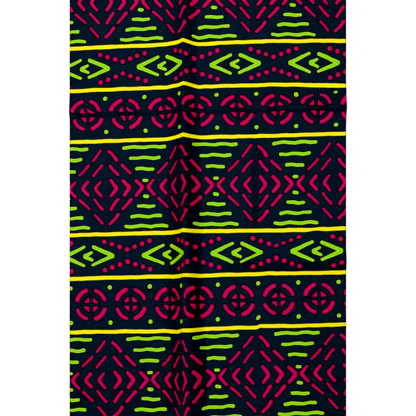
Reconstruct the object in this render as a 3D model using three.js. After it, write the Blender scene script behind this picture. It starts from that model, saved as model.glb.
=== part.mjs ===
import * as THREE from 'three';

// A length of printed cotton laid flat, with one standing crease across its whole width.
// Millimetres. The cloth rests on z = 0, +Z is up, and the selvedges are at -Y and +Y.

// ---------- sizes that drive the form ----------
const LENGTH = 686; // from cut edge to cut edge, along X
const WIDTH = 1168; // from selvedge to selvedge, along Y
const WALL = 1.5; // the solid wall that stands for a thin cotton
const FLANK_POWER = 1.7; // how hollow the two sides of the crease are
const ROWS = 36; // strips from selvedge to selvedge

// How many strips each stretch of a section is cut into, from the left cut edge to the right.
const STRIPS = { field_left: 6, flank_left: 9, top: 2, flank_right: 11, field_right: 8 };

// How far up each selvedge lies along its length. The cloth was cut a little off its grain.
const SELVEDGE_LIFT = { edge_left: -8.7, foot_left: -3.7, crest: 2.5, foot_right: 0, edge_right: 8.7 };

// The standing crease, a row for each section across it. Positions are along X.
const CREASE = [
  { y: -584, height: 23.5, foot_left: -99.0, crest: -65.5, shoulder: -44.4, foot_right: -12.2 },
  { y: -479, height: 25.0, foot_left: -101.4, crest: -66.7, shoulder: -42.5, foot_right: -9.7 },
  { y: -355, height: 25.0, foot_left: -99.0, crest: -67.5, shoulder: -44.4, foot_right: -9.7 },
  { y: -218, height: 25.0, foot_left: -94.0, crest: -65.0, shoulder: -54.0, foot_right: -7.2 },
  { y: -107, height: 25.0, foot_left: -91.5, crest: -60.5, shoulder: -57.0, foot_right: -7.2 },
  { y: 129, height: 25.0, foot_left: -89.0, crest: -61.0, shoulder: -58.5, foot_right: -4.7 },
  { y: 258, height: 25.0, foot_left: -86.6, crest: -58.5, shoulder: -56.0, foot_right: -2.2 },
  { y: 365, height: 25.0, foot_left: -89.0, crest: -60.0, shoulder: -57.5, foot_right: -7.2 },
  { y: 584, height: 23.5, foot_left: -89.0, crest: -60.5, shoulder: -58.0, foot_right: -9.7 },
];

const CLOTH = { color: 0x08121f, roughness: 0.62, metalness: 0.0 };

// ---------- small helpers ----------
const mix = (from, to, share) => from + (to - from) * share;
const clamp = (value, low, high) => Math.min(high, Math.max(low, value));

// A smooth curve through four even knots, between the middle two.
function through(before, from, to, after, share) {
  const pull = (to - before) / 2;
  const leave = (after - from) / 2;
  const square = share * share;
  const cube = square * share;
  return (
    (2 * cube - 3 * square + 1) * from +
    (cube - 2 * square + share) * pull +
    (3 * square - 2 * cube) * to +
    (cube - square) * leave
  );
}

// The crease's section at one height across the cloth, between the rows of its table.
function creaseAt(y) {
  const last = CREASE.length - 1;
  let row = 0;
  while (row < last - 1 && y > CREASE[row + 1].y) row += 1;
  const near = [row - 1, row, row + 1, row + 2].map((index) => CREASE[clamp(index, 0, last)]);
  const share = clamp((y - near[1].y) / (near[2].y - near[1].y), 0, 1);
  const section = {};
  for (const key of ['height', 'foot_left', 'crest', 'shoulder', 'foot_right']) {
    section[key] = through(near[0][key], near[1][key], near[2][key], near[3][key], share);
  }
  return section;
}

// Evenly spaced shares of a stretch, without its last end.
const shares = (count) => Array.from({ length: count }, (_, index) => index / count);

// The underside of one section as [x, z, lift] points, from the left cut edge to the right.
function underside(section) {
  const half = LENGTH / 2;
  const lift = SELVEDGE_LIFT;
  const points = [];
  for (const share of shares(STRIPS.field_left)) {
    points.push([mix(-half, section.foot_left, share), 0, mix(lift.edge_left, lift.foot_left, share)]);
  }
  for (const share of shares(STRIPS.flank_left)) {
    const rise = share ** FLANK_POWER;
    const x = mix(section.foot_left, section.crest, share);
    points.push([x, section.height * rise, mix(lift.foot_left, lift.crest, rise)]);
  }
  for (const share of shares(STRIPS.top)) {
    points.push([mix(section.crest, section.shoulder, share), section.height, lift.crest]);
  }
  for (const share of shares(STRIPS.flank_right)) {
    const fall = (1 - share) ** FLANK_POWER;
    const x = mix(section.shoulder, section.foot_right, share);
    points.push([x, section.height * fall, mix(lift.foot_right, lift.crest, fall)]);
  }
  for (const share of [...shares(STRIPS.field_right), 1]) {
    points.push([mix(section.foot_right, half, share), 0, mix(lift.foot_right, lift.edge_right, share)]);
  }
  return points;
}

// Which way is up from the stretch between two points of a section.
function upFrom(from, to) {
  const run = to[0] - from[0];
  const rise = to[1] - from[1];
  const size = Math.hypot(run, rise);
  return [-rise / size, run / size];
}

// The top side of a section, one wall above its underside all the way along.
function topside(points) {
  return points.map((point, index) => {
    const before = index > 0 ? upFrom(points[index - 1], point) : [0, 1];
    const after = index < points.length - 1 ? upFrom(point, points[index + 1]) : [0, 1];
    const sum = [before[0] + after[0], before[1] + after[1]];
    const size = Math.hypot(sum[0], sum[1]);
    const up = [sum[0] / size, sum[1] / size];
    const reach = WALL / (up[0] * after[0] + up[1] * after[1]);
    return [point[0] + up[0] * reach, point[1] + up[1] * reach, point[2]];
  });
}

// ---------- the cloth ----------
// Both faces as one list of points: each row's underside, then each row's top side.
function clothPoints() {
  const rows = Array.from({ length: ROWS + 1 }, (_, row) => mix(-WIDTH / 2, WIDTH / 2, row / ROWS));
  const under = rows.map((y) => underside(creaseAt(y)));
  const place = (section, row) => section.map(([x, z, lift]) => [x, rows[row] + lift, z]);
  const lower = under.map(place);
  const upper = under.map((section, row) => place(topside(section), row));
  return { lower, upper };
}

function clothGeometry() {
  const { lower, upper } = clothPoints();
  const across = lower[0].length;
  const positions = [...lower, ...upper].flat(2);
  const low = (row, column) => row * across + column;
  const high = (row, column) => (ROWS + 1 + row) * across + column;
  const triangles = [];
  const face = (a, b, c, d) => triangles.push(a, b, c, a, c, d);
  for (let row = 0; row < ROWS; row += 1) {
    for (let column = 0; column < across - 1; column += 1) {
      face(high(row, column), high(row, column + 1), high(row + 1, column + 1), high(row + 1, column));
      face(low(row, column), low(row + 1, column), low(row + 1, column + 1), low(row, column + 1));
    }
    const right = across - 1;
    face(low(row, 0), high(row, 0), high(row + 1, 0), low(row + 1, 0));
    face(low(row, right), low(row + 1, right), high(row + 1, right), high(row, right));
  }
  for (let column = 0; column < across - 1; column += 1) {
    face(low(0, column), low(0, column + 1), high(0, column + 1), high(0, column));
    face(low(ROWS, column), high(ROWS, column), high(ROWS, column + 1), low(ROWS, column + 1));
  }
  const geometry = new THREE.BufferGeometry();
  geometry.setAttribute('position', new THREE.Float32BufferAttribute(positions, 3));
  geometry.setIndex(triangles);
  geometry.computeVertexNormals();
  return geometry;
}

const cloth = new THREE.Mesh(clothGeometry(), new THREE.MeshStandardMaterial(CLOTH));
cloth.name = 'cloth_panel';

const model = new THREE.Group();
model.name = 'wax_print_cloth';
model.add(cloth);

export default model;
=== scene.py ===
import math
import random
from collections import namedtuple

import bmesh
import bpy
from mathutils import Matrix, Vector


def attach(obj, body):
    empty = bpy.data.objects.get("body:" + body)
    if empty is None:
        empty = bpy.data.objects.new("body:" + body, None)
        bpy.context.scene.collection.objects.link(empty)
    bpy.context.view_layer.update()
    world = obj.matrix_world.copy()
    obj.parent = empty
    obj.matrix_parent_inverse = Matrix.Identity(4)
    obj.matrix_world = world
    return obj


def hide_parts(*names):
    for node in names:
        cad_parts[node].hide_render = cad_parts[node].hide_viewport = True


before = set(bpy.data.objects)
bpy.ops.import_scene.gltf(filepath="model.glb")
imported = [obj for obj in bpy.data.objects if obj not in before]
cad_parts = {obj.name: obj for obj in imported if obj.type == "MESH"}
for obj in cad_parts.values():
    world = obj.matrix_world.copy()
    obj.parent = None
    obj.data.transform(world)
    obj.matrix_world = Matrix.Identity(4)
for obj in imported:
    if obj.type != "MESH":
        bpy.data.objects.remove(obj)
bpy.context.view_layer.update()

# A length of printed cotton laid flat, with one standing crease from selvedge to selvedge.
# Sizes and places are in millimetres, and become metres where a piece, a light or the camera is
# made. x runs along the cloth's length and y across it. u and v are the same, measured on the
# flat cloth before it was laid down, with u = 0 on a stack of green bars and v = 0 on the middle
# row of diamonds.
MM = 0.001
LENGTH = 686.0
WIDTH = 1168.0
THICKNESS = 0.5
BARE_SELVEDGE = 13.0  # the strip beside each selvedge that is dyed but not printed

# ---------- how the cloth lies ----------
# The standing crease rises from its left foot to its crest, stays nearly level to its shoulder
# and drops to its right foot. The powers bend its sides: above 1, a side is hollow.
LEFT_RUN_UP = 30.0  # the cloth starts to rise this far before the crease's left foot
LEFT_POWER = 2.0
RIGHT_POWER = 1.7
RIGHT_ROUNDING = 0.5  # how much of the right side is a smooth S and not the hollow curve
TOP_FALL = 0.009  # how far the top falls to the right, as a share of the height for each millimetre
TOP_POWER = 1.2
LIFT_POWER = 2.0  # above 1, the left side carries the print's rows up mostly near the crest

# The standing crease, a row for each section across it. The lift is how far up the cloth the
# crest carries the print's rows.
Crease = namedtuple("Crease", "v height foot_left crest shoulder foot_right lift")
CREASE = [
    Crease(-584, 31.0, -87.0, -61.0, -40.0, 0.0, 6.0),
    Crease(-479, 31.0, -88.0, -61.0, -38.0, 2.0, 7.0),
    Crease(-355, 31.0, -85.0, -60.5, -42.0, -3.0, 8.5),
    Crease(-218, 30.0, -84.0, -60.0, -49.0, -6.0, 7.0),
    Crease(-107, 29.0, -87.0, -60.0, -54.0, -7.0, 6.0),
    Crease(-40, 29.0, -91.0, -60.0, -57.0, -9.0, 7.0),
    Crease(129, 23.0, -92.0, -62.0, -59.0, -15.0, 5.0),
    Crease(258, 17.0, -90.0, -62.0, -59.0, -20.0, 4.5),
    Crease(365, 15.0, -92.0, -63.0, -60.0, -22.0, 4.5),
    Crease(584, 15.5, -94.0, -64.0, -61.0, -24.0, 4.5),
]

# How far up from its flat place each row of the print lies, at five places along the cloth:
# its cut edges, the crease's two feet, and a place between the crease and the right edge.
MIDDLE_RIGHT = 150.0
RowLift = namedtuple("RowLift", "v edge_left foot_left foot_right middle_right edge_right")
ROW_LIFT = [
    RowLift(-584, -11, -11, -6, 2, 9),
    RowLift(-430, -8, -4, 0, 8, 13),
    RowLift(-350, -8, -4, 0, 7, 12),
    RowLift(-220, -5, 1, 3, 8, 11),
    RowLift(-115, -4, 3, 6, 8, 13),
    RowLift(0, -3, 5, 8, 10, 16),
    RowLift(115, -5, 4, 8, 11, 17),
    RowLift(245, -8, 2, 3, 8, 9),
    RowLift(350, -10, 1, 2, 9, 10),
    RowLift(584, -11, -4, 0, 5, 9),
]

# Where a stack of bars stands on each side of the crease, and how long one repeat lies there.
Column = namedtuple("Column", "v left_stack left_repeat right_stack right_repeat")
COLUMNS = [
    Column(-584, -142, 200, 27, 203),
    Column(-400, -146, 198, 20, 201),
    Column(-110, -153, 195, 19, 198),
    Column(200, -161, 193, 17, 196),
    Column(584, -171, 189, 12, 195),
]

# Small creases, each a line from one place to another on the laid cloth. The two reaches are
# to the left and the right of someone who walks along it. A small crease can take in a strip
# of the print as wide as its hidden, or spread the print where that is negative, and can slide
# the print along the line.
Fold = namedtuple("Fold", "x0 y0 x1 y1 height reach_left reach_right power hidden slid")
FOLDS = [
    Fold(-390, 182, -40, 193, 7.0, 50, 15, 1.1, 0, 8.0),
    Fold(-110, 190, 395, 198, 7.0, 50, 46, 1.0, -4.0, 6.5),
    Fold(-70, 192, 395, 198, 5.0, 40, 15, 1.1, 0, 0),
    Fold(60, -194, 300, -88, 1.5, 10, 10, 1.7, 5.0, 0),
    Fold(124, -400, 124, -300, 1.5, 10, 10, 1.7, 0, 4.5),
    Fold(150, 203, 420, 259, 2.5, 10, 16, 1.7, 12.0, 0),
    Fold(104, 155, 104, -135, 8.0, 40, 40, 1.3, 0, 0),
    Fold(0, -184, 375, -182, 8.5, 27, 27, 1.0, 0, 0),
    Fold(-225, -235, -100, -261, 2.5, 8, 10, 1.7, 0, 0),
    Fold(150, -325, 275, -245, 1.4, 18, 18, 1.5, 0, 0),
    Fold(180, -334, 460, -340, 1.2, 9, 12, 1.5, 0, 0),
]
FOLD_FADE = 0.2  # the share of its length over which a small crease fades at each end
SHIFT_REACH = 50.0  # how far from a small crease the print is back in its place
SHIFT_STEP = 4.0  # how far to each side of the line the print's shift takes to build up

# ---------- the print, drawn from a few sizes in millimetres ----------
REPEAT_U = 196.0
REPEAT_V = 468.0
DIAMOND_BAND = 231.0
CIRCLE_BAND = 130.0
CHEVRON_BAND = 107.0

# A brush stroke from one point to another, with a width at each end.
Stroke = namedtuple("Stroke", "u0 v0 u1 v1 width0 width1")
BRUSH_SEED = 4
BRUSH = random.Random(BRUSH_SEED)  # no two marks of the print are quite alike
UNEVEN_PLACE = 1.8
UNEVEN_WIDTH = 1.3
ELBOW_SHARE = 0.14  # half of a chevron's blunt elbow, as a share of how far its arm rises
ELBOW_WIDER = 1.8  # the elbow is this much wider than the arms
DASH_THINNER = 0.6  # a dash is thinner in its middle
RIGHT_HEAVIER = 0.6  # the marks right of a diamond's middle are wider than those left of it

# Three rings round a diamond's middle. Each has a chevron at both sides, and each outer ring
# has one more dash on every slope than the ring inside it.
RING_COUNT = 3
RING_FIRST = 25.0  # along u, from the diamond's middle to the first ring's corner
RING_STEP = 32.5
RING_SLOPE = 1.13  # how far a slope of dashes climbs for each millimetre along u
RING_DROP = 3.0  # the chevrons stand this far below the middle
ARM = (13.5, 18.0)  # how far a chevron's arm runs back and how far it climbs
DASH_START = 27.0  # along u, back from a ring's corner
DASH_STEP = 33.0
DASH_RUN = 20.0
MARK_WIDTH = 6.3

# Four green bars above the middle of a stack (1) and four below (-1), each longer than the last.
BAR_ROWS = 4
BAR_FIRST = {1: 15.0, -1: 25.0}
BAR_STEP = {1: 27.5, -1: 24.5}
BAR_HALF = 3.5  # half of the shortest bar
BAR_GROWTH = 16.0
BAR_PIECE = 13.0  # a bar is drawn as short strokes of about this length
BAR_WAVE = 1.5
BAR_WAVE_LENGTH = 46.0
BAR_WIDTH = 6.8
BAR_UNEVEN = 0.7

# The green eye in the chevron band: two wide chevrons round a small one.
EYE_LEFT = -57.0
EYE_RIGHT = 61.0
EYE_ARM = (47.0, 22.0)
EYE_SMALL = -6.0
EYE_SMALL_ARM = (15.0, 9.0)
EYE_WIDTH = 7.0
EYE_ELBOW_SHARE = 0.04  # the two wide chevrons are pointed


def uneven(most):
    """A chance amount, up to the most either way."""
    return BRUSH.uniform(-most, most)


def moved(point):
    """A point a little off its place, as a hand puts it."""
    return point[0] + uneven(UNEVEN_PLACE), point[1] + uneven(UNEVEN_PLACE)


def brush(widths, points):
    """Strokes through a few points, with one width for each point."""
    pairs = zip(points, points[1:], widths, widths[1:])
    return [Stroke(*start, *end, wide, narrow) for start, end, wide, narrow in pairs]


def chevron(tip, arm, facing, width, elbow_share=ELBOW_SHARE):
    """A chevron with a thicker elbow that points left (-1) or right (1)."""
    top, bottom = (moved((tip[0] - facing * arm[0], tip[1] + up * arm[1])) for up in (1, -1))
    elbow = [(tip[0], tip[1] + up * arm[1] * elbow_share) for up in (1, -1)]
    wide = width + ELBOW_WIDER
    ends = [width + uneven(UNEVEN_WIDTH) for _ in range(2)]
    return brush((ends[0], wide, wide, ends[1]), (top, *elbow, bottom))


def dash(start, end, width):
    """A slightly bent dash, thinner in its middle."""
    middle = moved(((start[0] + end[0]) / 2.0, (start[1] + end[1]) / 2.0))
    widths = [width + uneven(UNEVEN_WIDTH), width - DASH_THINNER, width + uneven(UNEVEN_WIDTH)]
    return brush(widths, (moved(start), middle, moved(end)))


def diamond_marks():
    """The chevrons and dashes of the rings round a diamond's middle."""
    marks = []
    for ring in range(RING_COUNT):
        corner = RING_FIRST + ring * RING_STEP
        for side in (-1, 1):
            width = MARK_WIDTH + side * RIGHT_HEAVIER
            marks += chevron((side * corner, -RING_DROP), ARM, side, width)
            for step in range(ring):
                runs = [DASH_START + step * DASH_STEP + run for run in (0.0, DASH_RUN)]
                for up in (-1, 1):
                    ends = [(side * (corner - run), up * run * RING_SLOPE) for run in runs]
                    marks += dash(*ends, width)
    return marks


def wavy_bar(v, half):
    """A green bar whose brush stroke rises and falls a little."""
    pieces = max(1, round(2.0 * half / BAR_PIECE))
    start = uneven(math.pi)
    shift = uneven(UNEVEN_PLACE)
    points = []
    for piece in range(pieces + 1):
        u = half * (2.0 * piece / pieces - 1.0)
        wave = BAR_WAVE * math.sin(2.0 * math.pi * u / BAR_WAVE_LENGTH + start)
        points.append((u + shift, v + wave))
    return brush([BAR_WIDTH + uneven(BAR_UNEVEN) for _ in points], points)


def bar_marks():
    """The green bars above and below the middle of a stack."""
    marks = []
    for up in (1, -1):
        for row in range(BAR_ROWS):
            marks += wavy_bar(up * (BAR_FIRST[up] + row * BAR_STEP[up]), BAR_HALF + row * BAR_GROWTH)
    return marks


def eye_marks():
    """The green eye: a wide chevron at each side and a small one between them."""
    left = chevron((EYE_LEFT, 0.0), EYE_ARM, -1, EYE_WIDTH, EYE_ELBOW_SHARE)
    small = chevron((EYE_SMALL, 0.0), EYE_SMALL_ARM, -1, MARK_WIDTH)
    right = chevron((EYE_RIGHT, 0.0), EYE_ARM, 1, EYE_WIDTH, EYE_ELBOW_SHARE)
    return left + small + right


# Seven dots above and seven below make the cross between two eyes.
DOT_STEP = 18.8
DOT_CLIMB = 6.7
DOT_RADIUS = 5.4
DOT_LAST = 3.0  # how many dots stand on each side of the middle one
DOT_MIDDLE = 15.0  # how far the middle dot is from the cross's middle
EYE_SHIFT = 0.7  # the eyes and the crosses stand a little right of the quarters of a repeat

# The quartered circle, and the green dots between two circles.
CIRCLE_SHIFT = 6.5  # the circles and their dots stand a little right of the bars
CIRCLE_RISE = 1.5  # the circles stand a little above the middle of their band
ARC_RADIUS = 35.6
ARC_WIDTH = 8.6
ARC_WIDTH_CHANGE = 1.0  # two opposite arcs are this much wider, and the other two this much thinner
ARC_FROM = 20.0  # degrees, from the direction of u
ARC_TO = 71.0
QUARTER_GAP = (5.0, 4.8)  # from the circle's two middle lines to a quarter's straight sides
QUARTER_REACH = 16.3  # from the circle's middle to a quarter's slanted side
QUARTER_ROUND = 3.0  # how soft the quarters' corners are
GREEN_DOT_SHIFT = -1.5  # a little left of the middle between two circles
GREEN_DOT_RISE = 42.0
GREEN_DOT_SIZE = 9.2
GREEN_DOTS = [
    Stroke(GREEN_DOT_SHIFT, v, GREEN_DOT_SHIFT, v, GREEN_DOT_SIZE, GREEN_DOT_SIZE)
    for v in (GREEN_DOT_RISE, -GREEN_DOT_RISE)
]
LINE_WIDTH = 8.4  # the yellow lines between the bands

# ---------- inks of the print, as linear colours ----------
# Each ink is a little different at its rim, or, for yellow, along its middle.
GROUND = (0.0002, 0.0053, 0.0133, 1.0)
GROUND_LIGHT = (0.0006, 0.0077, 0.0180, 1.0)
OUTLINE = (0.0001, 0.0006, 0.0024, 1.0)
MAGENTA = (0.458, 0.0022, 0.0725, 1.0)
MAGENTA_EDGE = (0.418, 0.0018, 0.0602, 1.0)
LIME = (0.164, 0.522, 0.0030, 1.0)
LIME_EDGE = (0.410, 0.770, 0.0200, 1.0)
YELLOW = (0.800, 0.765, 0.0070, 1.0)
YELLOW_MIDDLE = (0.725, 0.470, 0.0045, 1.0)

# Where a colour changes to the next, in millimetres outside a mark's edge. Inside is negative.
INK_EDGE = 0.3
OUTLINE_FADE = (1.8, 4.2)
MAGENTA_RIM = (-2.2, -0.5)
LIME_RIM = (-2.0, -0.9)
YELLOW_CORE = (-3.8, -2.6)
SELVEDGE_EDGE = 0.5

# The print wanders a little on the cloth, and its ground is a little uneven in tone.
NOISE_MIDDLE = (0.5, 0.5, 0.5)
WANDER = (4.0, 4.0, 0.0)
WANDER_SCALE = 0.03
WANDER_DETAIL = 1.0
TONE_SCALE = 0.05
TONE_DETAIL = 6.0
TONE_RANGE = (0.35, 0.7)


# ---------- reading the tables ----------
def clamp(value, low, high):
    """The value kept from low to high."""
    return min(high, max(low, value))


def mix(start, end, share):
    """The value at a share of the way from start to end."""
    return start + (end - start) * share


def smooth(share):
    """A share from 0 to 1 that starts and ends gently."""
    share = clamp(share, 0.0, 1.0)
    return share * share * (3.0 - 2.0 * share)


def between_rows(table, v):
    """One row of a table at any height across the cloth, on a smooth curve through its rows."""
    last = len(table) - 1
    row = 0
    while row < last - 1 and v > table[row + 1].v:
        row += 1
    before, start, end, after = (table[clamp(row + step, 0, last)] for step in (-1, 0, 1, 2))
    share = clamp((v - start.v) / (end.v - start.v), 0.0, 1.0)
    square, cube = share**2, share**3
    weights = (
        (2.0 * square - cube - share) / 2.0,
        (3.0 * cube - 5.0 * square + 2.0) / 2.0,
        (4.0 * square - 3.0 * cube + share) / 2.0,
        (cube - square) / 2.0,
    )
    values = [sum(w * x for w, x in zip(weights, column)) for column in zip(before, start, end, after)]
    return type(start)(*values)


# ---------- the shape of the laid cloth ----------
# Strips along the cloth, from the left cut edge to the right: how many in each stretch.
STRIPS = (42, 26, 6, 28, 58)
ROW_COUNT = 300

# The crease takes up cloth, more and more towards its top, so its print stands closer there.
TAKEN_POWER = 2.2
TAKEN_BEFORE = 18.0  # it starts this far before the crease's left foot
TAKEN_TOP = 0.15  # it ends this share of the way from the crest to the shoulder
TAKEN_AFTER = 5.0  # and this much further
SPILL = 3.0  # just past that, the print still lies this far left of its even place
SPILL_REACH = 65.0  # and it is back in its even place this far on


def strip_ends(section):
    """The places along x where the stretches of strips meet."""
    half = LENGTH / 2.0
    return (-half, section.foot_left, section.crest, section.shoulder, section.foot_right, half)


def place_along(section, column):
    """x of a column of the mesh."""
    ends = strip_ends(section)
    for stretch, count in enumerate(STRIPS):
        if column <= count:
            return mix(ends[stretch], ends[stretch + 1], column / count)
        column -= count
    return ends[-1]


def crease_share(section, x):
    """How far up the standing crease the cloth is at x, from 0 to 1."""
    if x <= section.crest:
        foot = section.foot_left - LEFT_RUN_UP
        return clamp((x - foot) / (section.crest - foot), 0.0, 1.0) ** LEFT_POWER
    drop = TOP_FALL * (section.shoulder - section.crest)
    if x <= section.shoulder:
        return 1.0 - drop * ((x - section.crest) / (section.shoulder - section.crest)) ** TOP_POWER
    share = clamp((section.foot_right - x) / (section.foot_right - section.shoulder), 0.0, 1.0)
    return (1.0 - drop) * mix(share**RIGHT_POWER, smooth(share), RIGHT_ROUNDING)


def row_lift(lifts, section, x):
    """How far up from its flat place a row of the print lies at x."""
    half = LENGTH / 2.0
    if x < section.foot_left:
        return mix(lifts.edge_left, lifts.foot_left, (x + half) / (section.foot_left + half))
    if x > MIDDLE_RIGHT:
        return mix(lifts.middle_right, lifts.edge_right, (x - MIDDLE_RIGHT) / (half - MIDDLE_RIGHT))
    if x > section.foot_right:
        share = (x - section.foot_right) / (MIDDLE_RIGHT - section.foot_right)
        return mix(lifts.foot_right, lifts.middle_right, share)
    share = (x - section.foot_left) / (section.foot_right - section.foot_left)
    rise = crease_share(section, x) ** (LIFT_POWER if x < section.crest else 1.0)
    return mix(lifts.foot_left, lifts.foot_right, share) + section.lift * rise


def flat_u(columns, section, x):
    """u on the flat cloth of the point that lies at x."""
    def left(place):
        return -REPEAT_U + (place - columns.left_stack) * REPEAT_U / columns.left_repeat

    def right(place):
        return (place - columns.right_stack) * REPEAT_U / columns.right_repeat

    start = section.foot_left - TAKEN_BEFORE
    end = mix(section.crest, section.shoulder, TAKEN_TOP) + TAKEN_AFTER
    if x >= end:
        spill = clamp(1.0 - (x - end) / SPILL_REACH, 0.0, 1.0)
        return right(x) + SPILL * spill**2
    taken = right(end) + SPILL - left(end)
    return left(x) + taken * clamp((x - start) / (end - start), 0.0, 1.0) ** TAKEN_POWER


def small_folds(x, y):
    """How far the small creases raise the cloth at a place, and how far they move its print."""
    height = 0.0
    shift = Vector((0.0, 0.0))
    for fold in FOLDS:
        start = Vector((fold.x0, fold.y0))
        along = Vector((fold.x1, fold.y1)) - start
        share = (Vector((x, y)) - start).dot(along) / along.length_squared
        if not 0.0 < share < 1.0:
            continue
        along.normalize()
        left = Vector((-along.y, along.x))
        side = (Vector((x, y)) - start).dot(left)
        fade = smooth(share / FOLD_FADE) * smooth((1.0 - share) / FOLD_FADE)
        reach = fold.reach_left if side > 0.0 else fold.reach_right
        height += fold.height * fade * max(0.0, 1.0 - abs(side) / reach) ** fold.power
        near = fade * max(0.0, 1.0 - abs(side) / SHIFT_REACH) ** 2 * clamp(side / SHIFT_STEP, -1.0, 1.0)
        shift += (left * fold.hidden + along * fold.slid) * near / 2.0
    return height, shift


def mesh_rows():
    """For each row of the mesh, its v and what the three tables say there."""
    rows = []
    for row in range(ROW_COUNT + 1):
        v = mix(-WIDTH / 2.0, WIDTH / 2.0, row / ROW_COUNT)
        rows.append((v, *(between_rows(table, v) for table in (CREASE, ROW_LIFT, COLUMNS))))
    return rows


def laid_point(column, v, section, lifts, columns):
    """Where a point of the mesh lies, and where it is on the flat cloth."""
    x = place_along(section, column)
    y = v + row_lift(lifts, section, x)
    raised, shift = small_folds(x, y)
    z = section.height * crease_share(section, x) + raised
    u = flat_u(columns, section, x)
    return Vector((x, y, z)) * MM, Vector((u + shift.x, v + shift.y, 0.0)) * MM


def make_cloth():
    """The laid cloth, with its place on the flat cloth as its UV map and a thin wall."""
    across = sum(STRIPS)
    bm = bmesh.new()
    flat = bm.verts.layers.float_vector.new("flat")
    bmesh.ops.create_grid(bm, x_segments=across, y_segments=ROW_COUNT, size=1.0)
    rows = mesh_rows()
    for vert in bm.verts:
        column = round((vert.co.x + 1.0) / 2.0 * across)
        row = round((vert.co.y + 1.0) / 2.0 * ROW_COUNT)
        vert.co, vert[flat] = laid_point(column, *rows[row])
    uv = bm.loops.layers.uv.new("cloth")
    for face in bm.faces:
        face.smooth = True
        for loop in face.loops:
            loop[uv].uv = loop.vert[flat].xy
    bm.verts.layers.float_vector.remove(flat)
    mesh = bpy.data.meshes.new("cloth")
    bm.to_mesh(mesh)
    bm.free()
    cloth = bpy.data.objects.new("cloth", mesh)
    bpy.context.collection.objects.link(cloth)
    wall = cloth.modifiers.new("wall", "SOLIDIFY")
    wall.thickness = THICKNESS * MM
    wall.offset = 1.0
    return cloth


# The cloth's own relief, and its faint blue sheen, which slopes lose.
THREAD = 0.7
THREAD_HEIGHT = 0.012
COCKLE_SCALE = 0.02
COCKLE_DETAIL = 3.0
COCKLE_HEIGHT = 2.2
COTTON_ROUGHNESS = 0.42
COTTON_SHEEN = 0.062
COTTON_SHEEN_TINT = (0.10, 0.44, 1.0, 1.0)


# ---------- shader maths ----------
class Wire:
    """A socket's value in a material, so that shader maths reads as plain sums."""

    def __init__(self, tree, socket):
        self.tree = tree
        self.socket = socket

    def node(self, kind, settings=None, inputs=None, output=0):
        """Any node: its settings first, then the values or links of its sockets."""
        made = self.tree.nodes.new(kind)
        for name, value in (settings or {}).items():
            setattr(made, name, value)
        for key, value in (inputs or {}).items():
            if isinstance(value, Wire):
                self.tree.links.new(value.socket, made.inputs[key])
            else:
                made.inputs[key].default_value = value
        return Wire(self.tree, made.outputs[output])

    def math(self, operation, *others):
        """One sum, with this value first."""
        return self.node("ShaderNodeMath", {"operation": operation}, dict(enumerate((self, *others))))

    def kept(self, low, high):
        """The value kept from low to high."""
        return self.node("ShaderNodeClamp", None, {0: self, 1: low, 2: high})

    def vector(self, operation, *others, output=0):
        """One vector sum. Its output 1 is the number that some of them give."""
        inputs = dict(enumerate((self, *others)))
        return self.node("ShaderNodeVectorMath", {"operation": operation}, inputs, output)

    def __add__(self, other):
        return self.math("ADD", other)

    def __radd__(self, other):
        return self.math("ADD", other)

    def __sub__(self, other):
        return self.math("SUBTRACT", other)

    def __rsub__(self, other):
        return (self * -1.0).math("ADD", other)

    def __mul__(self, other):
        return self.math("MULTIPLY", other)

    def __rmul__(self, other):
        return self.math("MULTIPLY", other)

    def __truediv__(self, other):
        return self.math("DIVIDE", other)

    def __abs__(self):
        return self.math("ABSOLUTE")

    def least(self, other):
        """The smaller of two distances, so both shapes are there."""
        return self.math("MINIMUM", other)

    def soft_most(self, other, reach):
        """The larger of two distances, with a rounded corner: where both shapes overlap."""
        return self.math("SMOOTH_MAX", other, reach)

    def rise(self, low, high):
        """0 below low, 1 above high, and a straight climb between."""
        return self.math("MULTIPLY_ADD", 1.0 / (high - low), -low / (high - low)).kept(0.0, 1.0)

    def fall(self, low, high):
        """1 below low, 0 above high, and a straight drop between."""
        return self.math("MULTIPLY_ADD", -1.0 / (high - low), high / (high - low)).kept(0.0, 1.0)

    def wrapped(self, repeat):
        """The value moved by whole repeats to lie within half a repeat of zero."""
        return self.math("WRAP", repeat / 2.0, -repeat / 2.0)

    def paint(self, start, end):
        """A colour between two, with this value as the share of the second."""
        inputs = {0: self, 6: start, 7: end}
        return self.node("ShaderNodeMix", {"data_type": "RGBA"}, inputs, 2)

    def point(self, v):
        """A place on the flat cloth, with this value as its u."""
        return self.node("ShaderNodeCombineXYZ", None, {0: self, 1: v, 2: 0.0})


NO_LENGTH = 1e-6  # stands for the squared length of a dot, which has none


def stroke_distance(point, stroke):
    """How far a point is outside one stroke, in millimetres."""
    run, climb = stroke.u1 - stroke.u0, stroke.v1 - stroke.v0
    size = max(run * run + climb * climb, NO_LENGTH)
    from_start = point.vector("SUBTRACT", (stroke.u0, stroke.v0, 0.0))
    share = from_start.vector("DOT_PRODUCT", (run / size, climb / size, 0.0), output=1).kept(0.0, 1.0)
    inputs = {0: (run, climb, 0.0), "Scale": share}
    middle = share.node("ShaderNodeVectorMath", {"operation": "SCALE"}, inputs)
    away = from_start.vector("DISTANCE", middle, output=1)
    change = (stroke.width1 - stroke.width0) / 2.0
    return away - share.math("MULTIPLY_ADD", change, stroke.width0 / 2.0)


def nearest(point, strokes):
    """How far a point is outside the nearest of several strokes."""
    distance = stroke_distance(point, strokes[0])
    for stroke in strokes[1:]:
        distance = distance.least(stroke_distance(point, stroke))
    return distance


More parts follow.
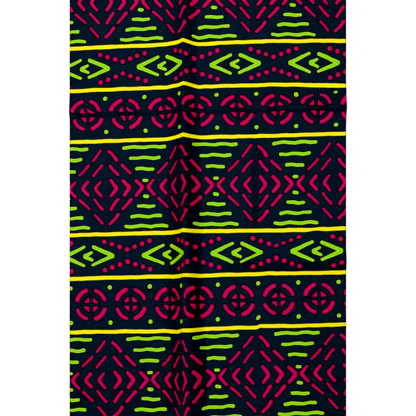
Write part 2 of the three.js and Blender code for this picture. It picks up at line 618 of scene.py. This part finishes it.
def dot_cross(u, v):
    """Distance to the seven dots above and the seven below a cross's middle."""
    found = None
    for side in (1.0, -1.0):
        step = (u / DOT_STEP).math("ROUND").kept(-DOT_LAST, DOT_LAST)
        level = abs(step) * (side * DOT_CLIMB) + side * DOT_MIDDLE
        middle = (step * DOT_STEP).point(level)
        away = u.point(v).vector("DISTANCE", middle, output=1) - DOT_RADIUS
        found = away if found is None else found.least(away)
    return found


def quartered_circle(u, v):
    """Distance to the four arcs and the four small quarters."""
    side = (u * v).math("SIGN")
    across, up = abs(u), abs(v)
    angle = up.math("ARCTAN2", across).kept(math.radians(ARC_FROM), math.radians(ARC_TO))
    middle = (angle.math("COSINE") * ARC_RADIUS).point(angle.math("SINE") * ARC_RADIUS)
    arc = across.point(up).vector("DISTANCE", middle, output=1)
    arc = arc - side.math("MULTIPLY_ADD", -ARC_WIDTH_CHANGE / 2.0, ARC_WIDTH / 2.0)
    corner = ((across + up) * math.sqrt(0.5)) - QUARTER_REACH
    quarter = (QUARTER_GAP[0] - across).soft_most(QUARTER_GAP[1] - up, QUARTER_ROUND)
    return arc.least(quarter.soft_most(corner, QUARTER_ROUND))


def band_lines(v):
    """Distance to the yellow lines between the bands."""
    half = DIAMOND_BAND / 2.0
    first = abs((v - half).wrapped(REPEAT_V))
    second = abs((v + half).wrapped(REPEAT_V))
    third = abs((v - half - CIRCLE_BAND).wrapped(REPEAT_V))
    return first.least(second).least(third) - LINE_WIDTH / 2.0


def flat_place(wire):
    """The place on the flat cloth, in millimetres."""
    flat = wire.node("ShaderNodeUVMap", {"uv_map": "cloth"})
    return flat.node("ShaderNodeVectorMath", {"operation": "SCALE"}, {0: flat, "Scale": 1.0 / MM})


def noise(flat, scale, detail, output=0):
    """A cloudy pattern on the flat cloth."""
    inputs = {"Vector": flat, "Scale": scale, "Detail": detail}
    return flat.node("ShaderNodeTexNoise", None, inputs, output)


def coordinate(place, axis):
    """u (0) or v (1) of a place."""
    return place.node("ShaderNodeSeparateXYZ", None, {0: place}, axis)


def mark_distances(u, v):
    """How far a place is outside the magenta marks, the green marks and the yellow lines."""
    half_u = REPEAT_U / 2.0
    diamond_v = v.wrapped(REPEAT_V)
    diamond = nearest((u - half_u).wrapped(REPEAT_U).point(diamond_v), diamond_marks())
    bars = nearest(u.wrapped(REPEAT_U).point(diamond_v), bar_marks())

    chevron_v = (v - (DIAMOND_BAND + CHEVRON_BAND) / 2.0 - CIRCLE_BAND).wrapped(REPEAT_V)
    eye = nearest((u - half_u / 2.0 - EYE_SHIFT).wrapped(REPEAT_U).point(chevron_v), eye_marks())
    cross = dot_cross((u + half_u / 2.0 - EYE_SHIFT).wrapped(REPEAT_U), chevron_v)

    circle_v = (v - (DIAMOND_BAND + CIRCLE_BAND) / 2.0).wrapped(REPEAT_V)
    circle = quartered_circle((u - half_u / 2.0 - CIRCLE_SHIFT).wrapped(half_u), circle_v - CIRCLE_RISE)
    green_dots = nearest((u - CIRCLE_SHIFT).wrapped(half_u).point(circle_v), GREEN_DOTS)

    magenta = diamond.least(cross).least(circle)
    lime = bars.least(eye).least(green_dots)
    return magenta, lime, band_lines(v)


def inked(flat, magenta, lime, yellow):
    """The dyed ground with the dark outline and the three inks on it."""
    any_mark = magenta.least(lime).least(yellow)
    tone = noise(flat, TONE_SCALE, TONE_DETAIL)
    colour = tone.rise(*TONE_RANGE).paint(GROUND, GROUND_LIGHT)
    colour = any_mark.fall(*OUTLINE_FADE).paint(colour, OUTLINE)
    magenta_colour = magenta.rise(*MAGENTA_RIM).paint(MAGENTA, MAGENTA_EDGE)
    colour = magenta.fall(-INK_EDGE, INK_EDGE).paint(colour, magenta_colour)
    lime_colour = lime.rise(*LIME_RIM).paint(LIME, LIME_EDGE)
    colour = lime.fall(-INK_EDGE, INK_EDGE).paint(colour, lime_colour)
    yellow_colour = yellow.fall(*YELLOW_CORE).paint(YELLOW, YELLOW_MIDDLE)
    return yellow.fall(-INK_EDGE, INK_EDGE).paint(colour, yellow_colour)


def make_print(start):
    """The colour of the printed cotton."""
    flat = flat_place(start)
    wander = noise(flat, WANDER_SCALE, WANDER_DETAIL, "Color")
    wander = wander.vector("SUBTRACT", NOISE_MIDDLE).vector("MULTIPLY", WANDER)
    place = flat.vector("ADD", wander)
    u = coordinate(place, 0)
    v = coordinate(place, 1)
    colour = inked(flat, *mark_distances(u, v))
    printed = WIDTH / 2.0 - BARE_SELVEDGE
    bare = abs(coordinate(flat, 1)).rise(printed - SELVEDGE_EDGE, printed + SELVEDGE_EDGE)
    return bare.paint(colour, GROUND)


def cloth_relief(start):
    """The plain weave and the faint cockling of starched cotton, as a bump."""
    flat = flat_place(start)
    cockle = noise(flat, COCKLE_SCALE, COCKLE_DETAIL)
    wave = 2.0 * math.pi / THREAD
    threads = flat.vector("MULTIPLY", (wave, wave, 0.0)).vector("SINE")
    weft = coordinate(threads, 0)
    warp = coordinate(threads, 1)
    height = cockle * COCKLE_HEIGHT + weft * warp * THREAD_HEIGHT
    return height.node("ShaderNodeBump", None, {"Distance": MM, "Height": height})


def cotton_material():
    """The printed cotton, with its weave and its faint sheen."""
    material = bpy.data.materials.new("wax_print_cotton")
    material.use_nodes = True
    tree = material.node_tree
    shader = tree.nodes["Principled BSDF"]
    start = Wire(tree, None)  # it has no socket and only makes the first nodes
    tree.links.new(make_print(start).socket, shader.inputs["Base Color"])
    tree.links.new(cloth_relief(start).socket, shader.inputs["Normal"])
    shader.inputs["Roughness"].default_value = COTTON_ROUGHNESS
    shader.inputs["Specular IOR Level"].default_value = COTTON_SHEEN
    shader.inputs["Specular Tint"].default_value = COTTON_SHEEN_TINT
    return material


# ---------- floor, light and camera ----------
VIEW_CENTRE = (0.25, -52.0)  # the camera looks straight down on this place
CAMERA_HEIGHT = 1091.0
CAMERA_LENS = 38.08
CAMERA_SENSOR = 36.0
FLOOR_HALF = 6000.0
FLOOR_DROP = 0.3  # the floor lies just under the cloth
FLOOR_COLOUR = (0.95, 0.95, 0.95, 1.0)
FLOOR_ROUGHNESS = 0.9
WHITE = (1.0, 1.0, 1.0, 1.0)
WORLD_LIGHT = 0.06
BLACK_LEVEL = (0.0008, 0.0058, 0.0118)  # the linear tone that the view shows as black

# Square soft lights that face the cloth's middle, with their power in watts.
Lamp = namedtuple("Lamp", "name place size power")
LAMPS = [
    Lamp("key", (-300.0, 160.0, 2700.0), 4050.0, 150.0),
    Lamp("fill", (0.0, 1700.0, 900.0), 1000.0, 6.0),
]


def make_floor():
    """The pale floor that the cloth lies on."""
    bm = bmesh.new()
    bmesh.ops.create_grid(bm, x_segments=1, y_segments=1, size=FLOOR_HALF * MM)
    mesh = bpy.data.meshes.new("floor")
    bm.to_mesh(mesh)
    bm.free()
    floor = bpy.data.objects.new("floor", mesh)
    floor.location.z = -FLOOR_DROP * MM
    bpy.context.collection.objects.link(floor)
    material = bpy.data.materials.new("pale_floor")
    material.use_nodes = True
    shader = material.node_tree.nodes["Principled BSDF"]
    shader.inputs["Base Color"].default_value = FLOOR_COLOUR
    shader.inputs["Roughness"].default_value = FLOOR_ROUGHNESS
    mesh.materials.append(material)


def make_light(lamp):
    """A square light that faces the cloth's middle."""
    light = bpy.data.lights.new(lamp.name, "AREA")
    light.size = lamp.size * MM
    light.energy = lamp.power
    holder = bpy.data.objects.new(lamp.name, light)
    holder.location = [length * MM for length in lamp.place]
    holder.rotation_mode = "QUATERNION"
    holder.rotation_quaternion = (-Vector(lamp.place)).to_track_quat("-Z", "Y")
    bpy.context.collection.objects.link(holder)


def make_camera():
    """A camera that looks straight down."""
    data = bpy.data.cameras.new("camera")
    data.lens = CAMERA_LENS
    data.sensor_width = CAMERA_SENSOR
    camera = bpy.data.objects.new("camera", data)
    camera.location = Vector((*VIEW_CENTRE, CAMERA_HEIGHT)) * MM
    bpy.context.collection.objects.link(camera)
    bpy.context.scene.camera = camera


def make_world():
    """A faint white light from all sides, and how the view shows dark tones."""
    world = bpy.data.worlds.new("studio")
    world.use_nodes = True
    back = world.node_tree.nodes["Background"]
    back.inputs["Color"].default_value = WHITE
    back.inputs["Strength"].default_value = WORLD_LIGHT
    bpy.context.scene.world = world
    view = bpy.context.scene.view_settings
    view.view_transform = "Standard"
    view.use_curve_mapping = True
    view.curve_mapping.black_level = BLACK_LEVEL
    view.curve_mapping.update()


make_camera()
make_floor()
make_world()
for lamp in LAMPS:
    make_light(lamp)

cloth = make_cloth()
cloth.data.materials.append(cotton_material())
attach(cloth, "root")
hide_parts("cloth_panel")
